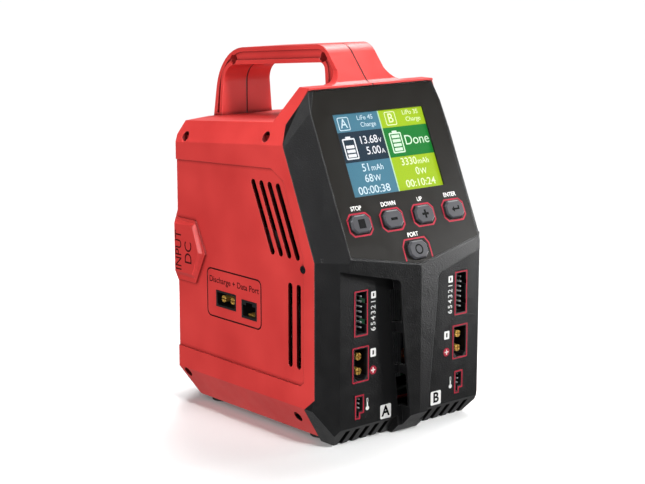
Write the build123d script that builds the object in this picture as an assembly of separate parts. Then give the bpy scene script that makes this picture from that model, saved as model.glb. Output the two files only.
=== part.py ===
from build123d import *
from math import atan2, cos, degrees, radians, sin, tan
import os

# Two-channel balance battery charger: two red half shells with an arched carrying handle, a black front
# with a leaning screen panel above two banks of output sockets, and a fan-cooled back with the DC inlet.
# Millimetres. X to the viewer's right, Y to the back, Z up. The origin is on the table, under the middle.

# ---- driving dimensions -------------------------------------------------------------------------------
WIDTH = 108.5             # across the side walls
DEPTH = 140.5             # prow of the front to the back wall
HALF = WIDTH / 2
BACK = DEPTH / 2          # back wall
PROW = -DEPTH / 2         # ridge of the front
FRONT = PROW + 14.75      # front edge of the side walls
PORT_FACE = FRONT - 8.4   # flat faces that carry the output sockets
WALL = 2.4                # red shells
SKIN = 2.2                # black front
LIFT = 3.7                # heights count from a datum this far above the table
UNDERSIDE = -0.6          # lowest face of the shells
FRONT_FLOOR = -3.4        # lowest face of the black front
KNEE_Z = 86.2             # height where the front begins to lean back
TILT = 23.6               # lean of the screen panel
LEAN = tan(radians(TILT))
PLATEAU_Z = 163.9         # top of the raised brow over the screen
BROW_Z = PLATEAU_Z - 1.1   # underside of the brow, where it covers the black front
ROOF_SLOPE = 0.08         # roof, wall tops and grip fall slightly to the back
WALL_TOP = 138.2          # top of the side wall at its front corner
SHOULDER_Y = FRONT + 22.5
CORNER_Y = BACK - 18.0    # where the side wall turns into the slanted back corner
BACK_HALF = 24.0          # half width of the flat of the back

SCREEN_CENTRE_Y = FRONT + 17.2
SCREEN_CENTRE_Z = 153.4
NORMAL = (0, -cos(radians(TILT)), sin(radians(TILT)))
# Screen plane: x across, y up the slope, z out of the front.
SCREEN = Plane(origin=(0, SCREEN_CENTRE_Y, SCREEN_CENTRE_Z), x_dir=(1, 0, 0), z_dir=NORMAL)

BANK_X = 33.0             # middle of each bank of sockets, left and right of the prow
BALANCE_Z, OUTPUT_Z, TEMP_Z = 60.9, 36.1, 15.6
LCD_W, LCD_H, LCD_V = 58.4, 40.6, -22.7
KEY_W, KEY_H, KEY_CUT = 11.8, 8.8, 2.4
KEY_TRAVEL = 0.8
KEY_GAP = 0.3             # clearance round a key in the sheet and the front
KEY_ROW_V, KEY_PITCH, PORT_KEY_V = -55.9, 20.4, -72.2
KEYS = {
    "stop_key": (-1.5 * KEY_PITCH, KEY_ROW_V),
    "down_key": (-0.5 * KEY_PITCH, KEY_ROW_V),
    "up_key": (0.5 * KEY_PITCH, KEY_ROW_V),
    "enter_key": (1.5 * KEY_PITCH, KEY_ROW_V),
    "port_key": (0, PORT_KEY_V),
}

HANDLE_HALF = 15.0
FAN_SIZE, FAN_DEPTH = 40.0, 15.0
FAN_Z = {"lower": 62.0, "upper": 104.0}
INLET_Z = 31.0
PANEL_T = 1.4             # steel back panel
PANEL_HALF, PANEL_Z0, PANEL_Z1 = 21.0, 17.0, 129.0
PANEL_SCREW_X, PANEL_SCREW_Z = 16.0, (20.0, 127.0)
FAN_HOLES = [(x, z) for x in (-16, 16) for z in (-16, 16)]

BADGE_RISE = 1.2          # height of the half hexagons over the walls
RECESS = 1.1              # depth of the set-in field of the side walls
SHEET = 0.9               # thickness of the screen panel
VENT_ROWS = ((53.4, 69.4), (32.0, 48.4), (11.2, 27.8))  # lowest and highest point of each prow opening
BOARD_T = 1.6             # thickness of every circuit board
BOARD_N = -9.6            # control board's front face, below the screen plane
BOARD_Z = 18.0            # underside of the main board
BOARD_POST_X, BOARD_POST_Y = 40.0, (-39.5, 40.0)
PORT_BOARD_Y = FRONT + 4.0
PORT_STUDS = [(21.0, 70.0), (21.0, 14.0)]
BALANCE_DX, TEMP_DX = 0.3, -0.6  # sockets' offsets from the middle of their bank
BALANCE_PITCH = 2.5
CONTACT_HALF, CONTACT_R = 3.6, 1.75  # round power contacts: half their spacing, and radius
SINK_Y0, SINK_Y1, SINK_Z = -14.0, 38.0, 28.0
DISCHARGE = (FRONT + 68.7, 56.2)  # middles of the two side sockets, as (y, z)
JACK = (FRONT + 50.2, 54.6)
SIDE_BOARD_X = -38.0

# Screws that join the half shells, as (y, z): distance of the counterbore's bottom from the seam.
SHELL_SCREWS = {
    (FRONT + 37.3, 140.6): 12.0,
    (FRONT + 101.1, 134.5): 12.0,
    (FRONT + 16.7, 8.3): 12.0,
    (FRONT + 102.1, 12.5): 12.0,
    (FRONT + 39.9, 175.9): 8.0,
    (FRONT + 110.8, 170.2): 8.0,
}
SCREW_REACH = 11.0        # depth of the pilot holes in the right half
SCREW_WELL = 2.5          # radius of the counterbores
BEZEL_SCREW = (FRONT + 8.4, 81.8)

FOOT_R, FOOT_TOP = 6.0, UNDERSIDE + 1.2
FEET = {
    "front_left_foot": (-35, -39), "front_right_foot": (35, -39),
    "back_left_foot": (-35, 40), "back_right_foot": (35, 40),
}

parts = {}


# ---- small helpers ------------------------------------------------------------------------------------
def wall_top(y):
    """Height of the edge between side wall and roof chamfer."""
    return WALL_TOP - ROOF_SLOPE * (y - SHOULDER_Y)


def roof(y):
    """Height of the roof behind the brow."""
    return 147.4 - ROOF_SLOPE * (y - FRONT - 36.7)


def prism_x(points, x0, x1):
    """Extrude a closed (y, z) outline from x0 to x1."""
    return extrude(Plane.YZ.offset(x0) * make_face(Polyline(*points, close=True)), x1 - x0)


def prism_y(points, y0, y1):
    """Extrude a closed (x, z) outline from y0 to y1."""
    face = Plane.XZ.offset(-y0) * make_face(Polyline(*points, close=True))
    return extrude(face, y1 - y0, dir=(0, 1, 0))


def prism_z(points, z0, z1):
    """Extrude a closed (x, y) outline from z0 to z1."""
    return extrude(Plane.XY.offset(z0) * make_face(Polyline(*points, close=True)), z1 - z0)


def block(x0, x1, y0, y1, z0, z1):
    """Box between two corners."""
    return Pos((x0 + x1) / 2, (y0 + y1) / 2, (z0 + z1) / 2) * Box(x1 - x0, y1 - y0, z1 - z0)


def rod_x(x0, x1, y, z, radius):
    """Round bar along X."""
    return Pos((x0 + x1) / 2, y, z) * Rot(0, 90, 0) * Cylinder(radius, x1 - x0)


def rod_y(x, y0, y1, z, radius):
    """Round bar along Y."""
    return Pos(x, (y0 + y1) / 2, z) * Rot(90, 0, 0) * Cylinder(radius, y1 - y0)


def rod_z(x, y, z0, z1, radius):
    """Round bar along Z."""
    return Pos(x, y, (z0 + z1) / 2) * Cylinder(radius, z1 - z0)


def mirror_x(solid):
    """The same thing on the other side of the middle plane."""
    return mirror(solid, about=Plane.YZ)


def both_sides(planes):
    """Repeat each (point, normal) on the other side of the middle plane."""
    twins = [((-p[0], p[1], p[2]), (-n[0], n[1], n[2])) for p, n in planes]
    return planes + twins


def trimmed(planes, inset):
    """A big block cut back to every plane; each plane moves inwards by inset."""
    body = block(-90, 90, -110, 110, -20, 220)
    for point, normal in planes:
        out = Vector(*normal).normalized()
        body = split(body, bisect_by=Plane(origin=Vector(*point) - out * inset, z_dir=out), keep=Keep.BOTTOM)
    return body


# ---- housing outlines ---------------------------------------------------------------------------------
def roof_chamfer():
    """Plane of the long chamfer between side wall and roof; it runs on up to the brow."""
    return ((HALF, SHOULDER_Y, WALL_TOP), (24.7, 24.7 * 0.5607 * ROOF_SLOPE, 24.7 * 0.5607))


def base_chamfer():
    """Plane of the long chamfer between side wall and underside."""
    return ((HALF, 0, 15.0), (13.5, 0, -8.25))


def shell_planes():
    """Outer faces of the red housing, apart from its roof and its front edge."""
    corner = Vector(BACK - CORNER_Y, HALF - BACK_HALF, 0).normalized()
    return both_sides([
        ((HALF, 0, 0), (1, 0, 0)),
        roof_chamfer(),
        base_chamfer(),
        ((HALF, CORNER_Y, 0), (corner.X, corner.Y, 0)),
        ((HALF, CORNER_Y, 135.0), (corner.X, corner.Y, 0.56)),
        ((HALF, CORNER_Y, 15.0), (corner.X, corner.Y, -0.61)),
    ]) + [
        ((0, BACK, 0), (0, 1, 0)),
        ((0, BACK, 137.5), (0, 1, 0.56)),
        ((0, BACK, 15.0), (0, 1, -0.61)),
        ((0, 0, UNDERSIDE), (0, 0, -1)),
    ]


def parting_line():
    """Side view of the joint between the shells and the black front, from the table up."""
    return [
        (FRONT + 8.3, -20), (FRONT + 8.3, UNDERSIDE), (FRONT + 7.9, 14.3), (FRONT, 20.8), (FRONT, KNEE_Z),
        (FRONT + 26.6, KNEE_Z + 26.6 / LEAN), (FRONT + 22.4, 156.7), (FRONT + 21.1, BROW_Z),
        (FRONT + 20.4, BROW_Z + 0.1),
    ]


def tongue_line(grow):
    """Side view of the part of the black front that reaches back under the brow."""
    y0, y1, z0 = FRONT + 16, FRONT + 24.0 + grow, 156.7
    return [(y0, z0), (y1, z0), (y1, BROW_Z), (y0, BROW_Z)]


def shell_half(side):
    """One red half shell; side is -1 for the left and 1 for the right."""
    roof_line = [
        (FRONT + 20.4, PLATEAU_Z), (FRONT + 27.9, PLATEAU_Z), (FRONT + 36.7, roof(FRONT + 36.7)),
        (90, roof(90)), (90, -20),
    ]
    cavity_line = [
        (-100, -20), (-100, BROW_Z), (FRONT + 24.4, BROW_Z), (FRONT + 25.6, PLATEAU_Z - WALL),
        (FRONT + 26.4, PLATEAU_Z - WALL), (FRONT + 35.2, roof(FRONT + 35.2) - WALL),
        (90, roof(90) - WALL), (90, -20),
    ]
    half = block(0, 90, -110, 110, -10, 220) if side > 0 else block(-90, 0, -110, 110, -10, 220)
    outer = trimmed(shell_planes(), 0) & prism_x(parting_line() + roof_line, -80, 80) & half
    cavity = trimmed(shell_planes(), WALL) & prism_x(cavity_line, -80, 80)
    shell = outer - cavity - prism_x(tongue_line(0.2), -37.6, 37.6) + (hexagons() & half) + (handle() & half)
    shell = shell + (shell_posts(side) & outer)
    shell = shell - side_recess(side) - side_slots(side) - handle_recess(side) - screw_holes(side)
    x1, z0, z1 = PANEL_HALF + 0.1, PANEL_Z0 - 0.1, PANEL_Z1 + 0.1
    shell = shell - block(-x1, x1, BACK - WALL, BACK + 5, z0, z1)
    for x, y in FEET.values():
        shell = shell - rod_z(x, y, -LIFT, FOOT_TOP, FOOT_R + 0.2)
    if side < 0:
        shell = shell - side_port_holes() - label_groove()
    return shell


def hexagons():
    """The raised half hexagons with bevelled edges that wrap the two rear edges of the side walls."""
    plate = trimmed(shell_planes(), -BADGE_RISE) - trimmed(shell_planes(), 0.4)
    bevel, y, z = 1.6, FRONT + 86.3, 77.2
    edges = [
        ((HALF, 0, z + 14.6), (bevel, 0, 1)),
        ((HALF, 0, z - 13.8), (bevel, 0, -1)),
        ((HALF, y, z), (bevel, -0.93, 0.37)),
        ((HALF, y, z), (bevel, -0.91, -0.42)),
    ]
    right = trimmed(edges, 0) & block(BACK_HALF + 6, 90, -20, 90, 50, 100)
    return plate & (right + mirror_x(right))


def side_recess(side):
    """Shallow set-in field of the side wall, which stops short of the half hexagon."""
    y = FRONT
    field = [
        (y + 7.6, 27.5), (y + 7.6, KNEE_Z + 1), (y + 22.3, 121.7), (y + 31.2, 126.6), (y + 125, 121.7),
        (y + 125, 26.0), (y + 10.4, 25.4),
    ]
    island = [(y + 84.5, 77.0), (y + 92.9, 93.0), (y + 125, 93.0), (y + 125, 61.0), (y + 92.5, 61.0)]
    x0, x1 = side * (HALF - RECESS), side * (HALF + 5)
    return prism_x(field, x0, x1) - prism_x(island, x0, x1)


def slot(start, end, width, x0, x1):
    """Round-ended slot through a side wall, between two (y, z) points."""
    dy, dz = end[0] - start[0], end[1] - start[1]
    length = (dy * dy + dz * dz) ** 0.5
    shape = SlotCenterToCenter(length, width, rotation=degrees(atan2(dz, dy)))
    middle = Pos((start[0] + end[0]) / 2, (start[1] + end[1]) / 2)
    return extrude(Plane.YZ.offset(x0) * middle * shape, x1 - x0)


def side_slots(side):
    """Four leaning and two upright cooling slots near the front of the side wall."""
    x0, x1 = side * (HALF - 6), side * (HALF + 3)
    pitch = 6.2
    cut = Part()
    for i in range(4):
        top = (FRONT + 27.5 + i * pitch, 118.2)
        foot = (FRONT + 13.2 + i * pitch, 86.8)
        cut += slot(top, foot, 3.2, x0, x1)
    for i in range(2):
        y = FRONT + 12.5 + i * pitch
        cut += slot((y, 72.2), (y, 34.6), 3.2, x0, x1)
    return cut


def side_port_holes():
    """Openings for the discharge socket and the data jack in the left wall."""
    x0, x1 = -HALF - 1, -HALF + WALL + 1
    y, z = DISCHARGE
    hole = block(x0, x1, y - 8.1, y + 8.1, z - 4.2, z + 4.2)
    y, z = JACK
    return hole + block(x0, x1, y - 6.0, y + 6.0, z - 4.6, z + 4.6)


def label_groove():
    """Engraved rounded frame around the two side sockets."""
    outer = Pos(FRONT + 62.4, 58.6) * RectangleRounded(43.8, 25.0, 3.4)
    inner = Pos(FRONT + 62.4, 58.6) * RectangleRounded(42.2, 23.4, 2.6)
    return extrude(Plane.YZ.offset(-HALF + RECESS - 1) * (outer - inner), 1.5)


def screw_holes(side):
    """Counterbored holes in the left half, pilot holes in the right half, and one bezel screw each side."""
    cut = Part()
    for (y, z), outside in SHELL_SCREWS.items():
        if side < 0:
            cut += rod_x(-HALF - 5, -outside, y, z, SCREW_WELL) + rod_x(-outside - 1, 0.5, y, z, 1.6)
        else:
            cut += rod_x(-0.5, SCREW_REACH, y, z, 1.25)
    y, z = BEZEL_SCREW
    for inside, radius in ((HALF - 4, 1.4), (HALF - 1.6, 2.1)):
        cut += rod_x(*sorted((side * inside, side * (HALF + 3))), y, z, radius)
    return cut


def shell_posts(side):
    """Screw bosses across the housing, board posts on the floor and the ledges behind the back panel."""
    x0, x1 = sorted((0, side * HALF))
    posts = Part()
    for y, z in SHELL_SCREWS:
        if z < roof(y):
            posts += rod_x(x0, x1, y, z, SCREW_WELL + 1.4)
    for y in BOARD_POST_Y:
        post = rod_z(side * BOARD_POST_X, y, UNDERSIDE + 1, BOARD_Z, 3.0)
        posts += post - rod_z(side * BOARD_POST_X, y, BOARD_Z - 6, BOARD_Z + 1, 1.25)
    y0, y1 = BACK - WALL - 3.5, BACK - WALL
    for z0, z1 in ((PANEL_Z0 - 4, PANEL_Z0 + 5), (PANEL_Z1 - 3.8, PANEL_Z1 + 4)):
        posts += block(*sorted((0, side * 20)), y0, y1, z0, z1)
    for z in PANEL_SCREW_Z:
        posts -= rod_y(side * PANEL_SCREW_X, y0 - 1, y1 + 1, z, 1.1)
    return posts


# ---- handle -------------------------------------------------------------------------------------------
def grip_top(y):
    """Height of the top of the grip."""
    return 182.0 - ROOF_SLOPE * (y - FRONT - 40)


def handle_outline():
    """Closed side view of the arch: front leg, grip and rear leg, with rounded bends."""
    y = FRONT
    corners = [
        (y + 20.6, 160.0), (y + 21.6, 163.0), (y + 24.9, 165.0), (y + 39.0, grip_top(y + 39.0)),
        (y + 123.0, grip_top(y + 123.0)), (y + 125.6, 136.0), (y + 118.6, 136.0), (y + 118.6, 167.0),
        (y + 38.6, 173.4), (y + 36.2, 150.0), (y + 30.0, 150.0),
    ]
    outline = make_face(Polyline(*corners, close=True))
    for index, radius in ((3, 10.0), (4, 24.0), (7, 10.0), (8, 3.5)):
        spot = Vector(corners[index][0], corners[index][1], 0)
        outline = fillet(outline.vertices().sort_by_distance(spot)[0], radius)
    return outline


def handle():
    """The arch at the full width of the grip, with its bevelled top and flared front foot."""
    arch = extrude(Plane.YZ.offset(-30) * handle_outline(), 60)
    x1 = HANDLE_HALF
    right = [(0, 130), (17.2, 130), (16.8, 141), (15.4, 158), (x1, 168), (x1, 192), (0, 192)]
    left = [(-x, z) for x, z in reversed(right)]
    over_tongue = [
        (-80, BROW_Z), (FRONT + 25.8, BROW_Z), (FRONT + 27.2, 130), (90, 130), (90, 200), (-80, 200),
    ]
    arch = arch - grip_bevel() - mirror_x(grip_bevel())
    narrow = arch & prism_y(right[1:-1] + left[1:-1], -60, 90) & prism_x(over_tongue, -40, 40)
    return narrow + front_foot(arch)


def grip_bevel():
    """Wedge that bevels the right long top edge of the grip."""
    along = Plane(origin=(0, FRONT + 40, grip_top(FRONT + 40)), x_dir=(1, 0, 0), z_dir=(0, 1, -ROOF_SLOPE))
    x1 = HANDLE_HALF
    wedge = make_face(Polyline((x1 - 3.0, 0.01), (x1 + 1, 0.01), (x1 + 1, -2.6), (x1, -1.8), close=True))
    return extrude(along * wedge, 100, both=True)


def front_foot(arch):
    """Concave flare that carries the front leg into the brow."""
    flare, x0, z0 = 9.0, HANDLE_HALF - 0.5, PLATEAU_Z - 0.9
    z1 = z0 + 1.0 + flare
    wing = prism_y([(0, z0), (x0 + flare, z0), (x0 + flare, z0 + 1.0), (x0 + flare, z1), (0, z1)], -60, 60)
    wing = (wing - rod_y(x0 + flare, -61, 61, z1, flare)) & arch
    wing = wing & prism_x([(FRONT, z0), (FRONT + 28.4, z0), (FRONT + 36, 178), (FRONT, 190)], -40, 40)
    return wing + mirror_x(wing)


def handle_recess(side):
    """Set-in face on each side of the grip, running down the rear leg."""
    rim = offset(handle_outline(), -2.2) & (Pos(FRONT + 78.5, 172) * Rectangle(93, 60))
    return extrude(Plane.YZ.offset(side * (HANDLE_HALF - 0.9)) * rim, side * 5)


# ---- black front --------------------------------------------------------------------------------------
def front_planes():
    """Outer faces of the black front, apart from the set-back socket faces."""
    return both_sides([
        ((HALF, 0, 0), (1, 0, 0)),
        roof_chamfer(),
        base_chamfer(),
        ((0, PROW, 0), (0.0786, -1, 0)),
        ((HALF, FRONT, 0), (1, -1, 0)),
        ((HALF, FRONT, KNEE_Z), (1, -1, LEAN)),
        ((HALF - 0.95, FRONT + 21.9, WALL_TOP + 0.2), (0.75, -0.52, 0.40)),
        ((HALF - 0.65, FRONT - 0.6, 20.5), (0.79, -0.60, -0.12)),
    ]) + [
        ((0, SCREEN_CENTRE_Y, SCREEN_CENTRE_Z), NORMAL),
        ((0, 0, BROW_Z), (0, 0, 1)),
        ((0, 0, FRONT_FLOOR), (0, 0, -1)),
        ((0, PORT_FACE - 2.2, 3.4), (0, -0.70, -0.71)),
    ]


def socket_field(grow):
    """Front view of the set-back field to the right of the prow, grown outwards by grow."""
    corner = (12.4, 74.4)
    flank = [(flank_x(z), z) for z in (60.0, 22.0)]
    outline = make_face(Polyline((60, 85.7), corner, *flank, (5.6, 6.0), (5.0, -10), (60, -10), close=True))
    outline = fillet(outline.vertices().sort_by_distance(Vector(*corner, 0))[0], 3.6)
    return offset(outline, grow, kind=Kind.INTERSECTION) if grow else outline


def flank_x(z):
    """Half width of the prow at a height, where its flank meets the set-back field."""
    return 7.3 + (z - 22.0) * 0.109


def set_back(grow, back):
    """Solid that clears the two socket fields down to their flat faces."""
    right = extrude(Plane.XZ.offset(100) * socket_field(grow), 100 + back, dir=(0, 1, 0))
    return right + mirror_x(right)


def screen_outline(inset):
    """Outline of the screen panel in the screen plane."""
    half, top, low, tip = 41.5 - inset, 9.6 - inset, -70.4 + inset * 0.8, -78.9 + inset
    right = [(37.2 - inset, top), (half, -0.4), (half, low), (0, tip)]
    return make_face(Polyline(*right, *[(-x, v) for x, v in reversed(right[:3])], close=True))


def key_outline(grow):
    """Key shape: a rectangle with cut corners, grown by grow."""
    w, h, c = KEY_W / 2 + grow, KEY_H / 2 + grow, KEY_CUT + grow * 0.6
    right = [(w - c, -h), (w, -h + c), (w, h - c), (w - c, h)]
    return make_face(Polyline(*right, *[(-x, v) for x, v in reversed(right)], close=True))


def on_screen(shape, low, high):
    """Extrude a sketch drawn in the screen plane between two heights over it."""
    return extrude(SCREEN.offset(low) * shape, high - low)


def front_bezel():
    """The black front: leaning screen surround, ledge, prow and the two set-back socket faces."""
    region = parting_line()[:-1] + [(-110, BROW_Z), (-110, -20)]
    zone = prism_x(region, -80, 80) + prism_x(tongue_line(0), -37.3, 37.3)
    outer = (trimmed(front_planes(), 0) & zone) - set_back(0, PORT_FACE)
    outer = outer - fields_chamfer(0)
    cavity = trimmed(front_planes(), SKIN) - set_back(SKIN, PORT_FACE + SKIN) - fields_chamfer(SKIN)
    behind = block(-HALF + SKIN, HALF - SKIN, FRONT + 0.5, 0, 16, 150)
    cavity = (cavity + behind) & trimmed(front_planes(), SKIN)
    bezel = outer - cavity
    tab = block(HALF - 9, HALF - WALL - 0.1, FRONT - 2.5, FRONT + 13, KNEE_Z - 10, KNEE_Z + 2)
    tab = tab - rod_x(HALF - 12, HALF, *BEZEL_SCREW, 1.25)
    bezel = bezel + tab + mirror_x(tab) + board_studs()
    bezel = bezel - on_screen(screen_outline(0), -SHEET, 5)
    bezel = bezel - on_screen(Pos(0, LCD_V) * Rectangle(LCD_W + 2, LCD_H + 2), -8, 5)
    for x, v in KEYS.values():
        bezel = bezel - on_screen(Pos(x, v) * key_outline(KEY_GAP), -8, 5)
    return bezel - socket_holes() - prow_vents() - louvres()


def fields_chamfer(inset):
    """Wedge that chamfers the foot of the two socket faces, with its slope moved inwards by inset."""
    y, z, slope = PORT_FACE, 6.2 + inset * 1.59, 0.81
    foot = y + (z - FRONT_FLOOR) * slope
    wedge = [(y - 1, z + 1 / slope), (foot, FRONT_FLOOR), (foot, -20), (y - 1, -20)]
    x0 = 8.5 - inset
    return prism_x(wedge, x0, 80) + prism_x(wedge, -80, -x0)


def board_studs():
    """Studs behind each socket face that carry the port boards."""
    studs = Part()
    for sign in (-1, 1):
        for x, z in PORT_STUDS:
            stud = rod_y(sign * x, PORT_FACE + 1, PORT_BOARD_Y, z, 2.6)
            studs += stud - rod_y(sign * x, PORT_BOARD_Y - 7, PORT_BOARD_Y + 1, z, 1.0)
    return studs


def temp_outline(grow):
    """Stepped outline of the temperature socket, centred on the socket."""
    corners = [(-2.6, 5.5), (2.6, 5.5), (2.6, -2.9), (0.1, -2.9), (0.1, -5.5), (-2.6, -5.5)]
    return offset(make_face(Polyline(*corners, close=True)), grow, kind=Kind.INTERSECTION)


def output_outline(grow):
    """Outline of an output socket: a rectangle with two cut corners at its lower end."""
    w, h, cut = 4.8 + grow, 8.4 + grow, 2.0
    corners = [(-w, h), (w, h), (w, -h + cut), (w - cut, -h), (-w + cut, -h), (-w, -h + cut)]
    return make_face(Polyline(*corners, close=True))


def into_front(sketch, x, z, y0, y1):
    """Extrude a front-view sketch placed at (x, z) from y0 back to y1."""
    return extrude(Plane.XZ.offset(-y0) * Pos(x, z) * sketch, y1 - y0, dir=(0, 1, 0))


def socket_holes():
    """Openings of both banks in the socket faces."""
    y0, y1 = PORT_FACE - 3, PORT_FACE + SKIN + 2
    cut = Part()
    for sign in (-1, 1):
        x = sign * BANK_X
        cut += into_front(Rectangle(8.5, 22.1), x + BALANCE_DX, BALANCE_Z, y0, y1)
        cut += into_front(output_outline(0.1), x, OUTPUT_Z, y0, y1)
        cut += into_front(temp_outline(0.1), x + TEMP_DX, TEMP_Z, y0, y1)
    return cut


def prow_vents():
    """Air openings in the two flanks of the prow, parted by ribs, that also notch the socket faces."""
    cut, reach, skin = Part(), 2.5, SKIN + 0.6
    for z0, z1 in VENT_ROWS:
        cut += block(-20, 20, PORT_FACE - 4.4, PORT_FACE - 0.2, z0, z1)
        low, high = flank_x(z0), flank_x(z1)
        notch = [(low - skin, z0), (low + reach, z0), (high + reach, z1), (high - skin, z1)]
        notch = prism_y(notch, PORT_FACE - 1, PORT_FACE + SKIN + 0.5)
        cut += notch + mirror_x(notch)
    return cut


def louvres():
    """Air slots that run back along the chamfer under each socket face."""
    cut = Part()
    for sign in (-1, 1):
        for i in range(5):
            x = sign * (14.6 + i * 6.2)
            cut += block(x - 1.4, x + 1.4, PORT_FACE - 1, PORT_FACE + 9.0, -20, 4.6)
    return cut


# ---- screen, keys and their board ---------------------------------------------------------------------
def screen_panel():
    """Dark cover sheet with the display window and the key openings."""
    sheet = on_screen(screen_outline(0.1), -SHEET, -0.05)
    sheet = sheet - on_screen(Pos(0, LCD_V) * Rectangle(LCD_W, LCD_H), -3, 3)
    for x, v in KEYS.values():
        sheet = sheet - on_screen(Pos(x, v) * key_outline(KEY_GAP), -3, 3)
    return sheet


def key(x, v):
    """Key cap with a bevelled face, and the flange that keeps it in."""
    cap = on_screen(Pos(x, v) * key_outline(0), -SKIN - 1.0, 1.4)
    face = cap.faces().sort_by(Axis(SCREEN.origin, SCREEN.z_dir))[-1]
    cap = chamfer(face.edges(), 0.7)
    return cap + on_screen(Pos(x, v) * key_outline(0.8), -SKIN - 1.0, -SKIN - 0.2)


def display():
    """Window glass, display module, its frame and the control board with its switches."""
    window = Pos(0, LCD_V)
    parts["display_glass"] = on_screen(window * Rectangle(LCD_W - 0.1, LCD_H - 0.1), -SHEET, -0.1)
    lcd = on_screen(window * Rectangle(68, 48.4), -SKIN - 3.6, -SKIN)
    parts["lcd_module"] = lcd + on_screen(window * Rectangle(LCD_W + 1.6, LCD_H + 1.6), -SKIN, -SHEET - 0.1)
    ring = on_screen(window * Rectangle(72, 52.4), -SKIN - 4.4, -SKIN)
    ring = ring - on_screen(window * Rectangle(68.2, 48.6), -SKIN - 5, -SKIN + 1)
    parts["lcd_frame"] = ring
    board = screen_outline(1.6) - Pos(0, 12) * Rectangle(90, 20)
    parts["control_board"] = on_screen(board, BOARD_N - BOARD_T, BOARD_N)
    switches = Part()
    for x, v in KEYS.values():
        switches += on_screen(Pos(x, v) * Rectangle(6.2, 6.2), BOARD_N, BOARD_N + 3.4)
        switches += on_screen(Pos(x, v) * Circle(1.7), BOARD_N + 3.4, -SKIN - 1.0 - KEY_TRAVEL - 0.1)
    parts["key_switches"] = switches


# ---- output sockets -----------------------------------------------------------------------------------
def bank_sockets(sign, letter):
    """Balance, output and temperature sockets of one bank, each a housing and its contacts."""
    x, y = sign * BANK_X, PORT_FACE - 0.1
    back = PORT_BOARD_Y
    bx, tx = x + BALANCE_DX, x + TEMP_DX
    body = into_front(Rectangle(8.3, 21.9), bx, BALANCE_Z, y, back)
    body = body - into_front(Rectangle(6.3, 19.9), bx, BALANCE_Z, y - 1, y + 7)
    for z in (-5, 5):
        body = body - block(bx + 2, bx + 5, y - 1, y + 6, BALANCE_Z + z - 1.2, BALANCE_Z + z + 1.2)
    pins = [block(bx + 1.25, bx + 1.95, y + 2, y + 8, z - 0.35, z + 0.35)
            for z in (BALANCE_Z + (i - 3) * BALANCE_PITCH for i in range(7))]
    parts[f"balance_socket_{letter}"] = body - pins
    parts[f"balance_pins_{letter}"] = Part() + pins
    body = into_front(output_outline(0), x, OUTPUT_Z, y, back)
    body = body - into_front(output_outline(-0.8), x, OUTPUT_Z, y - 1, y + 8)
    contacts = Part()
    for z in (-CONTACT_HALF, CONTACT_HALF):
        pin = rod_y(x, y + 1.5, back - 1, OUTPUT_Z + z, CONTACT_R)
        pin = pin - block(x - 3, x + 3, y, y + 7, OUTPUT_Z + z - 0.25, OUTPUT_Z + z + 0.25)
        contacts += pin - block(x - 0.25, x + 0.25, y, y + 7, OUTPUT_Z + z - 3, OUTPUT_Z + z + 3)
    parts[f"output_socket_{letter}"] = body - contacts
    parts[f"output_contacts_{letter}"] = contacts
    body = into_front(temp_outline(-0.05), tx, TEMP_Z, y, back)
    body = body - into_front(temp_outline(-0.9), tx, TEMP_Z, y - 1, y + 6)
    pins = [block(tx + 0.3, tx + 0.9, y + 1.1, y + 8, z - 0.3, z + 0.3)
            for z in (TEMP_Z + 1.3 + (i - 1) * 2.2 for i in range(3))]
    parts[f"temperature_socket_{letter}"] = body - pins
    parts[f"temperature_pins_{letter}"] = Part() + pins
    x0, x1 = sorted((sign * 17.0, sign * 45.0))
    board = block(x0, x1, PORT_BOARD_Y, PORT_BOARD_Y + BOARD_T, 9.0, 75.5)
    for sx, sz in PORT_STUDS:
        board = board - rod_y(sign * sx, PORT_BOARD_Y - 1, PORT_BOARD_Y + 3, sz, 1.1)
    parts[f"port_board_{letter}"] = board


def side_sockets():
    """Discharge socket and data jack in the left wall, on their own small board."""
    x = -HALF + RECESS - 0.1
    deep = SIDE_BOARD_X
    y, z = DISCHARGE
    body = block(x, deep, y - 8.0, y + 8.0, z - 4.1, z + 4.1)
    body = body - block(x - 1, x + 8, y - 7.1, y + 7.1, z - 3.2, z + 3.2)
    contacts = Part()
    for dy in (-CONTACT_HALF, CONTACT_HALF):
        pin = rod_x(x + 1.5, deep - 1, y + dy, z, CONTACT_R)
        pin = pin - block(x, x + 7, y + dy - 0.25, y + dy + 0.25, z - 3, z + 3)
        contacts += pin - block(x, x + 7, y + dy - 3, y + dy + 3, z - 0.25, z + 0.25)
    parts["discharge_socket"] = body - contacts
    parts["discharge_contacts"] = contacts
    y, z = JACK
    body = block(x, deep, y - 5.9, y + 5.9, z - 4.5, z + 4.5)
    body = body - block(x - 1, x + 9, y - 5.0, y + 5.0, z - 3.4, z + 2.2)
    body = body - block(x - 1, x + 9, y - 2.6, y + 2.6, z + 2.1, z + 3.6)
    wires = [block(x + 2.5, x + 9.5, dy - 0.2, dy + 0.2, z - 3.4, z - 2.6)
             for dy in (y + (i - 2.5) * 1.27 for i in range(6))]
    parts["data_jack"] = body - wires
    parts["data_jack_contacts"] = Part() + wires
    parts["side_board"] = block(deep, deep + BOARD_T, JACK[0] - 9, DISCHARGE[0] + 11, 47, 66)


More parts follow.
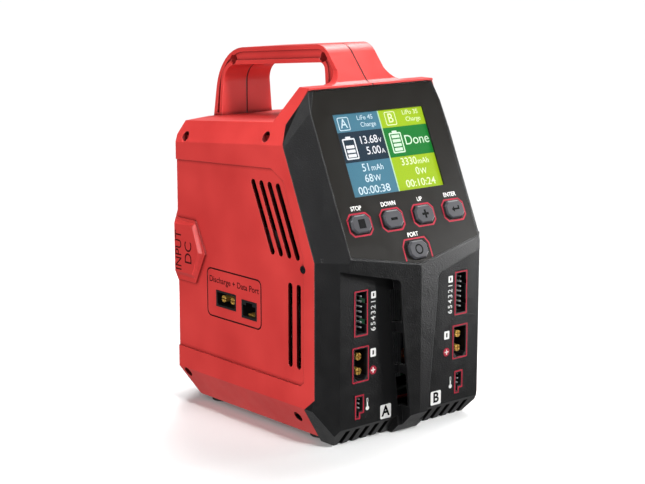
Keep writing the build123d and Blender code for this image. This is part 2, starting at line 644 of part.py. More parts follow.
# ---- power stage --------------------------------------------------------------------------------------
def power_stage():
    """Main board with heat sinks, transistors, inductors, capacitors and the buzzer."""
    top = BOARD_Z + BOARD_T
    board = block(-44, 44, -44, 46, BOARD_Z, top)
    for sign in (-1, 1):
        for y in BOARD_POST_Y:
            board = board - rod_z(sign * BOARD_POST_X, y, BOARD_Z - 1, BOARD_Z + 3, 1.6)
    parts["main_board"] = board
    for sign, letter in ((-1, "a"), (1, "b")):
        x0, x1 = sorted((sign * 5.0, sign * 34.0))
        sink = block(x0, x1, SINK_Y0, SINK_Y1, SINK_Z, SINK_Z + 4)
        fins = [block(x, x + 1.4, SINK_Y0, SINK_Y1, SINK_Z + 4, SINK_Z + 28)
                for x in (x0 + i * (x1 - x0 - 1.4) / 6 for i in range(7))]
        parts[f"heat_sink_{letter}"] = sink + fins
        bodies = Part()
        for i in range(4):
            y = SINK_Y0 + 7 + i * 13.0
            x = sign * 19.5
            bodies += block(x - 7.5, x + 7.5, y - 5, y + 5, SINK_Z - 4.4, SINK_Z)
            bodies += block(x - 9.1, x - 7.5, y - 3, y + 3, top, SINK_Z - 2.4)
        parts[f"transistors_{letter}"] = bodies
    coils, cans = Part(), Part()
    for x in (-30, -11, 11, 30):
        coils += Pos(x, -32, top + 2.7) * Torus(6.3, 2.7)
    for x in (-39.2, 39.2):
        for y in (-12, 2, 16):
            cans += rod_z(x, y, top, top + 20, 4.4)
    parts["inductors"] = coils
    parts["capacitors"] = cans
    parts["buzzer"] = rod_z(0, -20, top, top + 6, 4.0)
    parts["ribbon_cable"] = ribbon(PORT_BOARD_Y + 3.2, top)


def ribbon(y0, top):
    """Flat cable from the back of the control board down to the main board."""
    start = SCREEN.offset(BOARD_N - BOARD_T) * Pos(0, -58, 0)
    y1, z1, thick = start.position.Y, start.position.Z, 0.7
    outline = [
        (y1, z1), (y0 + thick, z1), (y0 + thick, top), (y0, top), (y0, z1 - thick), (y1 - 0.3, z1 - thick),
    ]
    return prism_x(outline, -8, 8)


# ---- back: panel, fans, inlet -------------------------------------------------------------------------
def back_panel():
    """Steel plate with a round grille before each fan and the opening for the inlet."""
    y0, y1 = BACK - WALL, BACK - WALL + PANEL_T
    plate = block(-PANEL_HALF, PANEL_HALF, y0, y1, PANEL_Z0, PANEL_Z1)
    for z in FAN_Z.values():
        spokes = Part()
        for angle in (45, 135):
            spokes += Pos(0, BACK - 2, z) * Rot(0, angle, 0) * Box(2.2, 10, 60)
        rings = Part()
        for inner, outer in ((5.0, 8.0), (9.6, 12.6), (14.2, 17.4)):
            rings += rod_y(0, y0 - 1, y1 + 1, z, outer) - rod_y(0, y0 - 2, y1 + 2, z, inner)
        plate = plate - (rings - spokes)
        for x, dz in FAN_HOLES:
            plate = plate - rod_y(x, y0 - 1, y1 + 1, z + dz, 1.6)
    for z in PANEL_SCREW_Z:
        for x in (-PANEL_SCREW_X, PANEL_SCREW_X):
            plate = plate - rod_y(x, y0 - 1, y1 + 1, z, 1.4)
    return plate - block(-11.2, 11.2, y0 - 1, y1 + 1, INLET_Z - 5.9, INLET_Z + 5.9)


def fan(name, z):
    """Axial fan: frame with a bearing hub on four arms, and a rotor with seven blades."""
    y1, y0 = BACK - WALL, BACK - WALL - FAN_DEPTH
    half = FAN_SIZE / 2
    frame = block(-half, half, y0, y1, z - half, z + half) - rod_y(0, y0 - 1, y1 + 1, z, 18.8)
    arms = Part()
    for angle in (0, 90):
        arms += Pos(0, y0 + 1, z) * Rot(0, angle, 0) * Box(2.2, 2, 38.4)
    frame = frame + arms + rod_y(0, y0, y0 + 2.4, z, 8.6) + rod_y(0, y0, y1 - 3.4, z, 1.5)
    for x, dz in FAN_HOLES:
        frame = frame - rod_y(x, y0 - 1, y1 + 1, z + dz, 1.5)
    parts[f"{name}_fan_frame"] = frame
    hub = rod_y(0, y0 + 3.2, y1 - 2.0, z, 8.6)
    for i in range(7):
        blade = Pos(12.8, 0, 0) * Rot(38, 0, 0) * Box(10.2, 1.2, 11)
        hub = hub + Pos(0, (y0 + y1) / 2 + 0.6, z) * Rot(0, i * 360 / 7, 0) * blade
    hub = hub & rod_y(0, y0 + 3.2, y1 - 2.0, z, 18.2)
    parts[f"{name}_fan_rotor"] = hub - rod_y(0, y0, y1 - 3.3, z, 1.55)


def inlet():
    """Direct-current inlet: a keyed housing through the back panel, two split pins and their leads."""
    y1, y0 = BACK - 0.2, BACK - 18.0
    w, h, cut = 11.0, 5.7, 2.2
    corners = [(-w, h), (w - cut, h), (w, h - cut), (w, -h + cut), (w - cut, -h), (-w, -h)]
    shape = make_face(Polyline(*corners, close=True))
    body = into_front(shape, 0, INLET_Z, y0, y1)
    body = body - into_front(offset(shape, -1.2, kind=Kind.INTERSECTION), 0, INLET_Z, y1 - 11, y1 + 1)
    contacts = Part()
    for x in (-5.3, 5.3):
        contacts += rod_y(x, y0 - 2, y1 - 1.6, INLET_Z, 2.2) - block(
            x - 0.3, x + 0.3, y1 - 9, y1, INLET_Z - 4, INLET_Z + 4)
    parts["inlet_socket"] = body - contacts
    parts["inlet_contacts"] = contacts
    leads = Part()
    for x in (-5.3, 5.3):
        bend = (x, y0 - 9, INLET_Z)
        line = FilletPolyline((x, y0 - 2, INLET_Z), bend, (x, y0 - 9, BOARD_Z + BOARD_T), radius=5)
        leads += sweep(Plane(origin=line @ 0, z_dir=line % 0) * Circle(1.8), path=line)
    parts["input_leads"] = leads


# ---- fasteners and feet -------------------------------------------------------------------------------
def screw(tip, head, radius, rise=1.4):
    """Pan-head screw between two points on its centre line; its head is rise tall."""
    tip, head = Vector(*tip), Vector(*head)
    along = (head - tip).normalized()
    length = (head - tip).length
    plane = Plane(origin=tip, z_dir=along)
    shank = extrude(plane * Circle(radius), length - rise)
    top = extrude(plane.offset(length - rise) * Circle(radius * 1.55), rise)
    drive = plane.offset(length - 0.7) * Rectangle(radius * 1.9, radius * 0.34)
    cross = plane.offset(length - 0.7) * Rectangle(radius * 0.34, radius * 1.9)
    return shank + top - extrude(drive, 2) - extrude(cross, 2)


def fasteners():
    """All the screws, one node for each kind and place."""
    group = Part()
    for (y, z), outside in SHELL_SCREWS.items():
        group += screw((SCREW_REACH - 1, y, z), (-outside - 1.4, y, z), 1.25)
    parts["shell_screws"] = group
    group = Part()
    y, z = BEZEL_SCREW
    for sign in (-1, 1):
        group += screw((sign * (HALF - 8), y, z), (sign * (HALF - 0.1), y, z), 1.2)
    parts["bezel_screws"] = group
    group = Part()
    for sign in (-1, 1):
        for x, z in PORT_STUDS:
            group += screw((sign * x, PORT_BOARD_Y - 6, z), (sign * x, PORT_BOARD_Y + 3.0, z), 1.0)
    parts["port_board_screws"] = group
    group = Part()
    for sign in (-1, 1):
        for y in BOARD_POST_Y:
            x = sign * BOARD_POST_X
            group += screw((x, y, BOARD_Z - 5), (x, y, BOARD_Z + 3.0), 1.25)
    parts["main_board_screws"] = group
    y1 = BACK - WALL + PANEL_T
    group = Part()
    for z in PANEL_SCREW_Z:
        for x in (-PANEL_SCREW_X, PANEL_SCREW_X):
            group += screw((x, BACK - WALL - 3, z), (x, y1 + 1.0, z), 1.1, rise=1.0)
    parts["back_panel_screws"] = group
    group = Part()
    for z in FAN_Z.values():
        for x, dz in FAN_HOLES:
            group += screw((x, BACK - WALL - 12, z + dz), (x, y1 + 1.0, z + dz), 1.5, rise=1.0)
    parts["fan_screws"] = group


for name, side in (("left_shell", -1), ("right_shell", 1)):
    parts[name] = shell_half(side)
parts["front_bezel"] = front_bezel()
parts["screen_panel"] = screen_panel()
for name, (x, v) in KEYS.items():
    parts[name] = key(x, v)
display()
bank_sockets(-1, "a")
bank_sockets(1, "b")
side_sockets()
power_stage()
parts["back_panel"] = back_panel()
for name, z in FAN_Z.items():
    fan(name, z)
inlet()
fasteners()
for name, (x, y) in FEET.items():
    parts[name] = rod_z(x, y, -LIFT, FOOT_TOP, FOOT_R)

os.makedirs("parts", exist_ok=True)
for name, solid in parts.items():
    export_step(Pos(0, 0, LIFT) * solid, f"parts/{name}.step")
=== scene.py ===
"""Looks for the balance battery charger: materials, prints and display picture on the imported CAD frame.

Prints are placed in millimetres; materials, lights and floor work in metres.
"""

import math

import bmesh
import bpy
from mathutils import Matrix, Vector


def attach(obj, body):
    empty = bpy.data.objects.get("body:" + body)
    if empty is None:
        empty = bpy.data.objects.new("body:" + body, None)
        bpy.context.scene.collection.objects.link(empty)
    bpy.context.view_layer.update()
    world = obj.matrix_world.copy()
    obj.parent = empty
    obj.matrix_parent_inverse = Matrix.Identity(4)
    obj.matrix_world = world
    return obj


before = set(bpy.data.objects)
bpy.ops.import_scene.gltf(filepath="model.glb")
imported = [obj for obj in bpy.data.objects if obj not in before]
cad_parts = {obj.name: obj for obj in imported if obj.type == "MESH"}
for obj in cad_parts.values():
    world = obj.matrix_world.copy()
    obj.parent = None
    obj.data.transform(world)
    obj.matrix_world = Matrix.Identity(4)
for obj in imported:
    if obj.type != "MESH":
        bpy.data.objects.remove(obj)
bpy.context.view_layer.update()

MM = 0.001
DATUM = 3.7 * MM          # heights of prints count from this far above the table, as in the CAD source
BODY = "charger"
CAP_HEIGHT = 0.682        # of the built-in font, for a size of 1
CORNER_STEPS = 6          # segments in a round corner
CIRCLE_STEPS = 40         # segments in a full circle
scene = bpy.context.scene


# ---- colours ------------------------------------------------------------------------------------------
def srgb(r, g, b):
    """Linear colour from 8-bit display values."""
    def linear(c):
        c /= 255
        return c / 12.92 if c <= 0.04045 else ((c + 0.055) / 1.055) ** 2.4
    return (linear(r), linear(g), linear(b), 1.0)


# ---- materials ----------------------------------------------------------------------------------------
NOISE_ROUGHNESS = 0.55
RUB_RADIUS = 0.0005       # metres from an edge that wear reaches
ROUND_RADIUS = 0.0004     # metres, of the softly rounded edges of a moulding


class Nodes:
    """Small helper that adds shader nodes to one material."""

    def __init__(self, name):
        self.material = bpy.data.materials.new(name)
        self.material.use_nodes = True
        self.tree = self.material.node_tree
        self.shader = self.tree.nodes["Principled BSDF"]
        self.place = self.add("ShaderNodeTexCoord").outputs["Object"]

    def add(self, kind, **settings):
        node = self.tree.nodes.new(kind)
        for key, value in settings.items():
            setattr(node, key, value)
        return node

    def link(self, source, target):
        self.tree.links.new(source, target)

    def noise(self, per_metre, detail=3.0, stretch=(1, 1, 1)):
        """Noise value over the object, with about this many cells per metre."""
        mapping = self.add("ShaderNodeMapping")
        mapping.inputs["Scale"].default_value = stretch
        self.link(self.place, mapping.inputs["Vector"])
        node = self.add("ShaderNodeTexNoise")
        node.inputs["Scale"].default_value = per_metre
        node.inputs["Detail"].default_value = detail
        node.inputs["Roughness"].default_value = NOISE_ROUGHNESS
        self.link(mapping.outputs["Vector"], node.inputs["Vector"])
        return node.outputs["Fac"]

    def feed(self, name, source):
        """Feed a socket into the shader's input of this name."""
        self.link(source, self.shader.inputs[name])

    def ramp(self, value, low, high, out_low, out_high):
        """Map a value from one range to another, clamped."""
        node = self.add("ShaderNodeMapRange")
        ends = (("From Min", low), ("From Max", high), ("To Min", out_low), ("To Max", out_high))
        for key, number in ends:
            node.inputs[key].default_value = number
        self.link(value, node.inputs["Value"])
        return node.outputs["Result"]

    def wander(self, noise, low=0.0, high=1.0, reach=0.2):
        """Value that wanders between two numbers; the noise reaches both at this far from its middle."""
        return self.ramp(noise, 0.5 - reach, 0.5 + reach, low, high)

    def mix(self, factor, first, second):
        """Mix two colours, each a value or a socket."""
        node = self.add("ShaderNodeMix", data_type="RGBA")
        self.link(factor, node.inputs[0])
        for socket, colour in ((node.inputs[6], first), (node.inputs[7], second)):
            if isinstance(colour, tuple):
                socket.default_value = colour
            else:
                self.link(colour, socket)
        return node.outputs[2]

    def split(self, vector):
        """The three parts of a vector."""
        node = self.add("ShaderNodeSeparateXYZ")
        self.link(vector, node.inputs[0])
        return node.outputs

    def maths(self, operation, *terms):
        """Result of a Math node on these terms, each a number or a socket."""
        node = self.add("ShaderNodeMath", operation=operation)
        for socket, term in zip(node.inputs, terms):
            if isinstance(term, (int, float)):
                socket.default_value = term
            else:
                self.link(term, socket)
        return node.outputs[0]

    def edge(self):
        """Value that is 1 along sharp edges and 0 on flat faces."""
        bevel = self.add("ShaderNodeBevel", samples=4)
        bevel.inputs["Radius"].default_value = RUB_RADIUS
        geometry = self.add("ShaderNodeNewGeometry")
        dot = self.add("ShaderNodeVectorMath", operation="DOT_PRODUCT")
        self.link(bevel.outputs["Normal"], dot.inputs[0])
        self.link(geometry.outputs["Normal"], dot.inputs[1])
        return self.ramp(dot.outputs["Value"], 1.0, 0.9, 0.0, 1.0)

    def worn(self, least, most):
        """Value for patchy wear along the edges, between these two shares."""
        return self.maths("MULTIPLY", self.edge(), self.wander(self.noise(300), least, most))

    def surface(self, height, distance, radius=ROUND_RADIUS):
        """Bump from a height socket, laid over softly rounded edges where a radius is given."""
        bump = self.add("ShaderNodeBump")
        bump.inputs["Distance"].default_value = distance
        self.link(height, bump.inputs["Height"])
        if radius:
            bevel = self.add("ShaderNodeBevel", samples=6)
            bevel.inputs["Radius"].default_value = radius
            self.link(bevel.outputs["Normal"], bump.inputs["Normal"])
        self.link(bump.outputs["Normal"], self.shader.inputs["Normal"])


def darker(colour, share):
    return tuple(c * share for c in colour[:3]) + (1.0,)


def moulded(name, colour, rough, grain, depth, specular=0.5, radius=ROUND_RADIUS, wear=0.25):
    """Moulded plastic: fine spark-eroded grain, slow tone drift, rubbed edges and uneven gloss."""
    n = Nodes(name)
    base = n.mix(n.wander(n.noise(28, detail=2), reach=0.15), darker(colour, 0.9), colour)
    rubbed = tuple(min(1.0, c * 1.25 + 0.012) for c in colour[:3]) + (1.0,)
    n.feed("Base Color", n.mix(n.worn(wear * 0.5, wear), base, rubbed))
    n.feed("Roughness", n.wander(n.noise(160, detail=4), rough - 0.05, rough + 0.05))
    n.shader.inputs["Specular IOR Level"].default_value = specular
    n.surface(n.noise(grain, detail=2), depth, radius=radius)
    return n.material


def inner_faces(n, normal, x, z):
    """Mask for painted shade: 1 on faces that look at the middle of the housing or, below the handle,
    forward.
    """
    middle, handle_foot, side_wall, roof = 0.080, 0.128, 0.0520, 0.150      # metres
    forward_weight = 0.02
    outward = n.maths("ADD", n.maths("MULTIPLY", normal[0], x),
                      n.maths("MULTIPLY", normal[2], n.maths("ADD", z, -middle)))
    weight = n.ramp(z, handle_foot, handle_foot + 0.001, forward_weight, 0)
    outward = n.maths("MULTIPLY_ADD", normal[1], weight, outward)
    within = n.maths("MULTIPLY", n.ramp(n.maths("ABSOLUTE", x), side_wall, side_wall + 0.0003, 1, 0),
                     n.ramp(z, roof, roof + 0.001, 1, 0))
    return n.maths("MULTIPLY", n.ramp(outward, -0.006, -0.004, 1, 0), within)


def cut_edges(n, normal, x):
    """Mask for painted shade: 1 on the faces that the slots cut through the side walls."""
    inner, outer = 0.0500, 0.05308        # metres from the middle plane, between which those faces lie
    edgeways = n.ramp(n.maths("ABSOLUTE", normal[0]), 0.3, 0.35, 1, 0)
    away = n.maths("ABSOLUTE", x)
    wall = n.maths("MULTIPLY", n.ramp(away, outer, outer + 0.00003, 1, 0),
                   n.ramp(away, inner, inner + 0.0001, 0, 1))
    return n.maths("MULTIPLY", edgeways, wall)


def red_shell(name):
    """Red moulded shell: grained, with a dark middle seam. Painted shade darkens its creases and the slot
    walls, and its inside is painted near black as shade.
    """
    n = Nodes(name)
    red, deep, rubbed = srgb(200, 58, 55), srgb(184, 47, 45), srgb(240, 92, 86)
    shade, seam_shade, inside, cut = srgb(96, 14, 14), srgb(58, 6, 6), srgb(14, 10, 10), srgb(96, 15, 16)
    base = n.mix(n.wander(n.noise(26, detail=2), reach=0.15), deep, red)
    base = n.mix(n.worn(0.12, 0.3), base, rubbed)
    # Painted shade: the AO node turns the red towards deep red in creases and concave corners, where
    # shade falls
    crease_shade_ao = n.add("ShaderNodeAmbientOcclusion", samples=4)
    crease_shade_ao.inputs["Distance"].default_value = 0.002
    base = n.mix(n.ramp(crease_shade_ao.outputs["AO"], 0.55, 0.95, 0.85, 0), base, shade)
    x, _, z = n.split(n.place)
    seam = n.ramp(n.maths("ABSOLUTE", x), 0.0003, 0.0006, 1.0, 0.0)
    base = n.mix(seam, base, seam_shade)
    normal = n.split(n.add("ShaderNodeNewGeometry").outputs["Normal"])
    # Painted shade: faces inside the housing, and forward faces below the handle's foot, are painted near
    # black where shade falls behind the vents
    base = n.mix(inner_faces(n, normal, x, z), base, inside)
    # Painted shade: the walls of the slots are painted dark red, where shade falls inside the slots
    n.feed("Base Color", n.mix(cut_edges(n, normal, x), base, cut))
    n.feed("Roughness", n.wander(n.noise(160, detail=4), 0.36, 0.46))
    n.shader.inputs["Specular IOR Level"].default_value = 0.34
    height = n.maths("SUBTRACT", n.noise(2300, detail=2), n.ramp(seam, 0, 1, 0, 4))
    n.surface(height, 0.00003, radius=0.0005)
    return n.material


def metal(name, colour, rough, grain, brushed=(1, 1, 1), depth=0.00001, metallic=1.0):
    """Metal with fine scratches, drawn out by the brushed scale, and a slightly uneven gloss."""
    n = Nodes(name)
    streak = n.noise(grain, detail=4, stretch=brushed)
    n.feed("Base Color", n.mix(n.wander(streak), darker(colour, 0.8), colour))
    n.shader.inputs["Metallic"].default_value = metallic
    n.feed("Roughness", n.wander(n.noise(220), rough - 0.07, rough + 0.07))
    n.surface(streak, depth, radius=0.0002)
    return n.material


def ink(name, colour, rough):
    """Printed ink with a slightly uneven film."""
    n = Nodes(name)
    film = n.noise(1500, detail=2)
    n.feed("Base Color", n.mix(n.wander(film), darker(colour, 0.9), colour))
    n.feed("Roughness", n.wander(film, rough - 0.06, rough + 0.06))
    n.shader.inputs["Specular IOR Level"].default_value = 0.15
    n.surface(film, 0.000004, radius=0)
    return n.material


def lit(name, colour):
    """Backlit part of the display picture: mostly its own light, with a slightly uneven backlight."""
    n = Nodes(name)
    uneven = n.noise(45, detail=1)
    n.feed("Base Color", n.mix(n.noise(2000), darker(colour, 0.38), darker(colour, 0.44)))
    n.feed("Emission Color", n.mix(n.wander(uneven), darker(colour, 0.93), colour))
    n.shader.inputs["Emission Strength"].default_value = 0.72
    n.feed("Roughness", n.wander(uneven, 0.5, 0.6))
    n.shader.inputs["Specular IOR Level"].default_value = 0.2
    return n.material


def circuit_board(name):
    """Green solder mask with faint tracks under it."""
    n = Nodes(name)
    cells = n.add("ShaderNodeTexBrick")
    cells.inputs["Scale"].default_value = 160
    cells.inputs["Color1"].default_value = srgb(14, 70, 44)
    cells.inputs["Color2"].default_value = srgb(18, 84, 52)
    cells.inputs["Mortar"].default_value = srgb(30, 110, 70)
    cells.inputs["Mortar Size"].default_value = 0.03
    n.link(n.place, cells.inputs["Vector"])
    n.feed("Base Color", cells.outputs["Color"])
    n.feed("Roughness", n.wander(n.noise(300), 0.28, 0.4))
    n.surface(cells.outputs["Fac"], 0.00003, radius=0.0001)
    return n.material


def window(name):
    """Clear cover glass: almost invisible, with a clean reflection."""
    n = Nodes(name)
    n.shader.inputs["Base Color"].default_value = (0.01, 0.012, 0.014, 1)
    n.shader.inputs["Alpha"].default_value = 0.1
    n.feed("Roughness", n.wander(n.noise(90), 0.05, 0.09))
    n.surface(n.noise(60), 0.000002, radius=0)
    return n.material


def ribbon(name):
    """Flat cable: parallel grey cores side by side."""
    n = Nodes(name)
    cores = n.add("ShaderNodeTexWave", bands_direction="X", wave_profile="SIN")
    cores.inputs["Scale"].default_value = 250
    n.link(n.place, cores.inputs["Vector"])
    n.feed("Base Color", n.mix(cores.outputs["Fac"], srgb(120, 122, 126), srgb(168, 170, 174)))
    n.shader.inputs["Roughness"].default_value = 0.5
    n.surface(cores.outputs["Fac"], 0.0002, radius=0)
    return n.material


RED = red_shell("red_plastic")
BLACK = moulded("black_plastic", srgb(12, 12, 13), 0.35, 1500, depth=0.00014, specular=0.34, wear=0.9)
SHEET = moulded("panel_film", srgb(24, 22, 19), 0.36, 3000, depth=0.00001, specular=0.22, radius=0.0002)
KEYS = moulded("key_plastic", srgb(64, 64, 68), 0.36, 3200, depth=0.00001, specular=0.4, radius=0.00015)
SOCKET = moulded("socket_nylon", srgb(17, 17, 18), 0.42, 2200, depth=0.00003, specular=0.4, radius=0.0002)
PART_BLACK = moulded("part_epoxy", srgb(28, 28, 30), 0.55, 2600, depth=0.00004, radius=0.0002)
FAN = moulded("fan_plastic", srgb(24, 24, 26), 0.45, 2400, depth=0.00003, radius=0.0003)
FOOT = moulded("foot_rubber", srgb(26, 26, 26), 0.8, 1400, depth=0.00012, specular=0.3, radius=0.0005)
SLEEVE = moulded("can_sleeve", srgb(38, 40, 58), 0.35, 2400, depth=0.00002, radius=0.0003)
LEAD = moulded("lead_silicone", srgb(24, 24, 24), 0.7, 1500, depth=0.00006, specular=0.3, radius=0.0)
PLATE = moulded("plate_powder_coat", srgb(30, 30, 32), 0.5, 1300, depth=0.00010, wear=0.6)
GOLD = metal("gold_contact", srgb(246, 196, 96), 0.34, 1600, metallic=0.75)
SINK = metal("sink_aluminium", srgb(196, 198, 202), 0.35, 400, brushed=(30, 1, 1))
COPPER = metal("coil_copper", srgb(120, 62, 32), 0.45, 700, brushed=(1, 1, 8), depth=0.0002)
SCREW = metal("screw_black_steel", srgb(58, 58, 62), 0.38, 1800)
PIN = metal("tinned_pin", srgb(236, 236, 240), 0.36, 1500, metallic=0.35)
BOARD = circuit_board("board_green")
GLASS = window("cover_glass")
CABLE = ribbon("ribbon_grey")

CAD_LOOK = {
    RED: "left_shell right_shell",
    BLACK: "front_bezel lcd_frame",
    SHEET: "screen_panel lcd_module",
    KEYS: "stop_key down_key up_key enter_key port_key",
    SOCKET: "balance_socket_a balance_socket_b output_socket_a output_socket_b temperature_socket_a "
            "temperature_socket_b discharge_socket data_jack inlet_socket",
    GOLD: "output_contacts_a output_contacts_b discharge_contacts data_jack_contacts inlet_contacts",
    PART_BLACK: "key_switches buzzer transistors_a transistors_b",
    FAN: "lower_fan_frame upper_fan_frame lower_fan_rotor upper_fan_rotor",
    FOOT: "front_left_foot front_right_foot back_left_foot back_right_foot",
    SLEEVE: "capacitors",
    LEAD: "input_leads",
    PLATE: "back_panel",
    SINK: "heat_sink_a heat_sink_b",
    COPPER: "inductors",
    SCREW: "shell_screws bezel_screws port_board_screws main_board_screws back_panel_screws fan_screws",
    PIN: "balance_pins_a balance_pins_b temperature_pins_a temperature_pins_b",
    BOARD: "control_board port_board_a port_board_b side_board main_board",
    GLASS: "display_glass",
    CABLE: "ribbon_cable",
}
for look, names in CAD_LOOK.items():
    for node in names.split():
        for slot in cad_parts[node].material_slots:
            slot.link = "OBJECT"
            slot.material = look

WHITE_INK = ink("ink_white", srgb(226, 226, 224), 0.5)
RED_INK = ink("ink_red", srgb(158, 36, 54), 0.5)
DARK_INK = ink("ink_dark", srgb(6, 6, 7), 0.8)
# Painted shade: dark red that stands in for the shade inside engraved grooves and letters
ENGRAVING_SHADE_RED = ink("engraving_shade_red", srgb(50, 6, 8), 0.6)


# ---- flat shapes and print ----------------------------------------------------------------------------
class Face:
    """A flat face to print on: its origin in mm, the way across and the way up."""

    def __init__(self, origin, across, up):
        across, up = Vector(across).normalized(), Vector(up).normalized()
        turn = Matrix((across, up, across.cross(up))).transposed().to_4x4()
        shift = Matrix.Translation(Vector(origin) * MM + Vector((0, 0, DATUM)))
        self.matrix = shift @ turn @ Matrix.Scale(MM, 4)


def rounded(x0, x1, y0, y1, radius=0.0):
    """Outline of a rectangle with round corners."""
    if not radius:
        return [(x0, y0), (x1, y0), (x1, y1), (x0, y1)]
    points = []
    for cx, cy, start in ((x1 - radius, y0 + radius, -90), (x1 - radius, y1 - radius, 0),
                          (x0 + radius, y1 - radius, 90), (x0 + radius, y0 + radius, 180)):
        for i in range(CORNER_STEPS + 1):
            a = math.radians(start + 90 * i / CORNER_STEPS)
            points.append((cx + radius * math.cos(a), cy + radius * math.sin(a)))
    return points


def circle(x, y, radius):
    turns = [2 * math.pi * i / CIRCLE_STEPS for i in range(CIRCLE_STEPS)]
    return [(x + radius * math.cos(a), y + radius * math.sin(a)) for a in turns]


def stroke(points, width, closed=False):
    """Outline of a line of this width along the points, with mitred corners, as one or two loops."""
    count = len(points)
    sides = ([], [])
    for i, (x, y) in enumerate(points):
        before = points[i - 1] if closed or i else None
        after = points[(i + 1) % count] if closed or i < count - 1 else None
        ways = []
        if before is not None:
            ways.append(Vector((x - before[0], y - before[1])).normalized())
        if after is not None:
            ways.append(Vector((after[0] - x, after[1] - y)).normalized())
        way = sum(ways, Vector((0, 0))).normalized()
        out = Vector((-way.y, way.x)) * (width / 2 / max(0.3, way.dot(ways[0])))
        sides[0].append((x + out.x, y + out.y))
        sides[1].append((x - out.x, y - out.y))
    return [sides[0], sides[1]] if closed else [sides[0] + sides[1][::-1]]


class Print:
    """Thin raised shapes in one ink on one face, joined into one piece."""

    def __init__(self, name, face, height=0.0, thick=0.03):
        self.name, self.face, self.height, self.thick = name, face, height, thick
        self.mesh = bmesh.new()

    def take(self, data, shift):
        """Turn curve or text data into mesh and add it."""
        data.extrude = self.thick / 2
        data.fill_mode = "BOTH"
        carrier = bpy.data.objects.new("carrier", data)
        scene.collection.objects.link(carrier)
        mesh = bpy.data.meshes.new_from_object(carrier)
        mesh.transform(Matrix.Translation((0, 0, self.height + self.thick / 2)) @ shift)
        self.mesh.from_mesh(mesh)
        bpy.data.objects.remove(carrier)
        bpy.data.meshes.remove(mesh)

    def shape(self, *loops):
        """Add filled loops; a loop inside another is a hole."""
        curve = bpy.data.curves.new("loops", "CURVE")
        curve.dimensions = "2D"
        for loop in loops:
            spline = curve.splines.new("POLY")
            spline.points.add(len(loop) - 1)
            for point, (x, y) in zip(spline.points, loop):
                point.co = (x, y, 0, 1)
            spline.use_cyclic_u = True
        self.take(curve, Matrix.Identity(4))

    def border(self, x0, x1, y0, y1, line, radius, inner_radius=0.0):
        """Add a rectangular border of this line width, round-cornered outside and, if asked, inside."""
        self.shape(rounded(x0, x1, y0, y1, radius),
                   rounded(x0 + line, x1 - line, y0 + line, y1 - line, inner_radius))

    def text(self, words, x, y, size, turn=0, bold=0.0, narrow=1.0, align="CENTER"):
        """Add lettering whose capitals are size tall, centred on (x, y) unless align says otherwise."""
        font = bpy.data.curves.new("words", "FONT")
        font.body = words
        font.size = size / CAP_HEIGHT
        font.offset = bold
        font.align_x, font.align_y = align, "CENTER"
        place = Matrix.Translation((x, y, 0)) @ Matrix.Rotation(math.radians(turn), 4, "Z")
        self.take(font, place @ Matrix.Diagonal((narrow, 1, 1, 1)))

    def reading(self, number, unit, x, y, size, unit_size):
        """Add a number ending at x and its unit beginning there, on one base line."""
        self.text(number, x, y, size, bold=0.02, align="RIGHT")
        self.text(unit, x + 0.3, y - (size - unit_size) / 2, unit_size, bold=0.01, align="LEFT")

    def done(self, material, body=BODY):
        """Make the piece, in this material, and let it ride on a body."""
        bmesh.ops.transform(self.mesh, matrix=self.face.matrix, verts=self.mesh.verts)
        bmesh.ops.recalc_face_normals(self.mesh, faces=self.mesh.faces)
        mesh = bpy.data.meshes.new(self.name)
        self.mesh.to_mesh(mesh)
        self.mesh.free()
        mesh.materials.append(material)
        piece = bpy.data.objects.new(self.name, mesh)
        scene.collection.objects.link(piece)
        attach(piece, body)


# ---- faces --------------------------------------------------------------------------------------------
FRONT = -55.5                           # y of the shells' front edge
SCREEN_TOP = (0, FRONT + 17.2, 153.4)   # middle of the screen plane's top edge
TILT = math.radians(23.6)               # of the screen plane, leaning back
PORT_PLANE = -63.9                      # y of the socket faces
LEFT_WALL = -54.25                      # x of the left wall's outer face
WALL_RECESS = -1.1                      # height of the left wall's sunk field over that face

screen_face = Face(SCREEN_TOP, (1, 0, 0), (0, math.sin(TILT), math.cos(TILT)))
port_face = Face((0, PORT_PLANE, 0), (1, 0, 0), (0, 0, 1))
side_face = Face((LEFT_WALL, 0, 0), (0, -1, 0), (0, 0, 1))

SHEET_TOP, KEY_TOP, LCD_TOP = -0.05, 1.4, -0.99     # heights above the screen plane
KEY_ROW, PORT_KEY_ROW = -55.9, -72.2                # from the screen plane's top edge
KEY_X = {"stop_key": -30.6, "down_key": -10.2, "up_key": 10.2, "enter_key": 30.6, "port_key": 0.0}


# ---- screen panel: outlines and labels ----------------------------------------------------------------
def cut_corners(x, y, half_w, half_h, cut):
    """Rectangle round a key, with its corners cut off."""
    left, right, low, high = x - half_w, x + half_w, y - half_h, y + half_h
    return [(left, low + cut), (left + cut, low), (right - cut, low), (right, low + cut),
            (right, high - cut), (right - cut, high), (left + cut, high), (left, high - cut)]


def panel_print():
    """Red key outlines and white key names."""
    line = 0.75
    outlines = Print("key_outlines", screen_face, SHEET_TOP)
    for name, x in KEY_X.items():
        if name != "port_key":
            corners = cut_corners(x - 0.1, KEY_ROW - 0.1, 7.05, 5.3, 2.3)
            outlines.shape(*stroke(corners, line, closed=True))
    half, shoulder = 8.5, 6.4
    foot, bend, top = PORT_KEY_ROW - 4.6, PORT_KEY_ROW + 2.4, PORT_KEY_ROW + 5.6
    arch = [(-half, foot), (-half, bend), (-shoulder, top), (shoulder, top), (half, bend), (half, foot)]
    outlines.shape(*stroke(arch, line))
    outlines.done(RED_INK)
    names = Print("key_names", screen_face, SHEET_TOP)
    lettering = {"bold": 0.055, "narrow": 0.95}
    for word in ("STOP", "DOWN", "UP", "ENTER"):
        names.text(word, KEY_X[word.lower() + "_key"] - 0.1, KEY_ROW + 7.7, 2.0, **lettering)
    names.text("PORT", -0.2, PORT_KEY_ROW + 7.6, 2.0, **lettering)
    names.done(WHITE_INK)


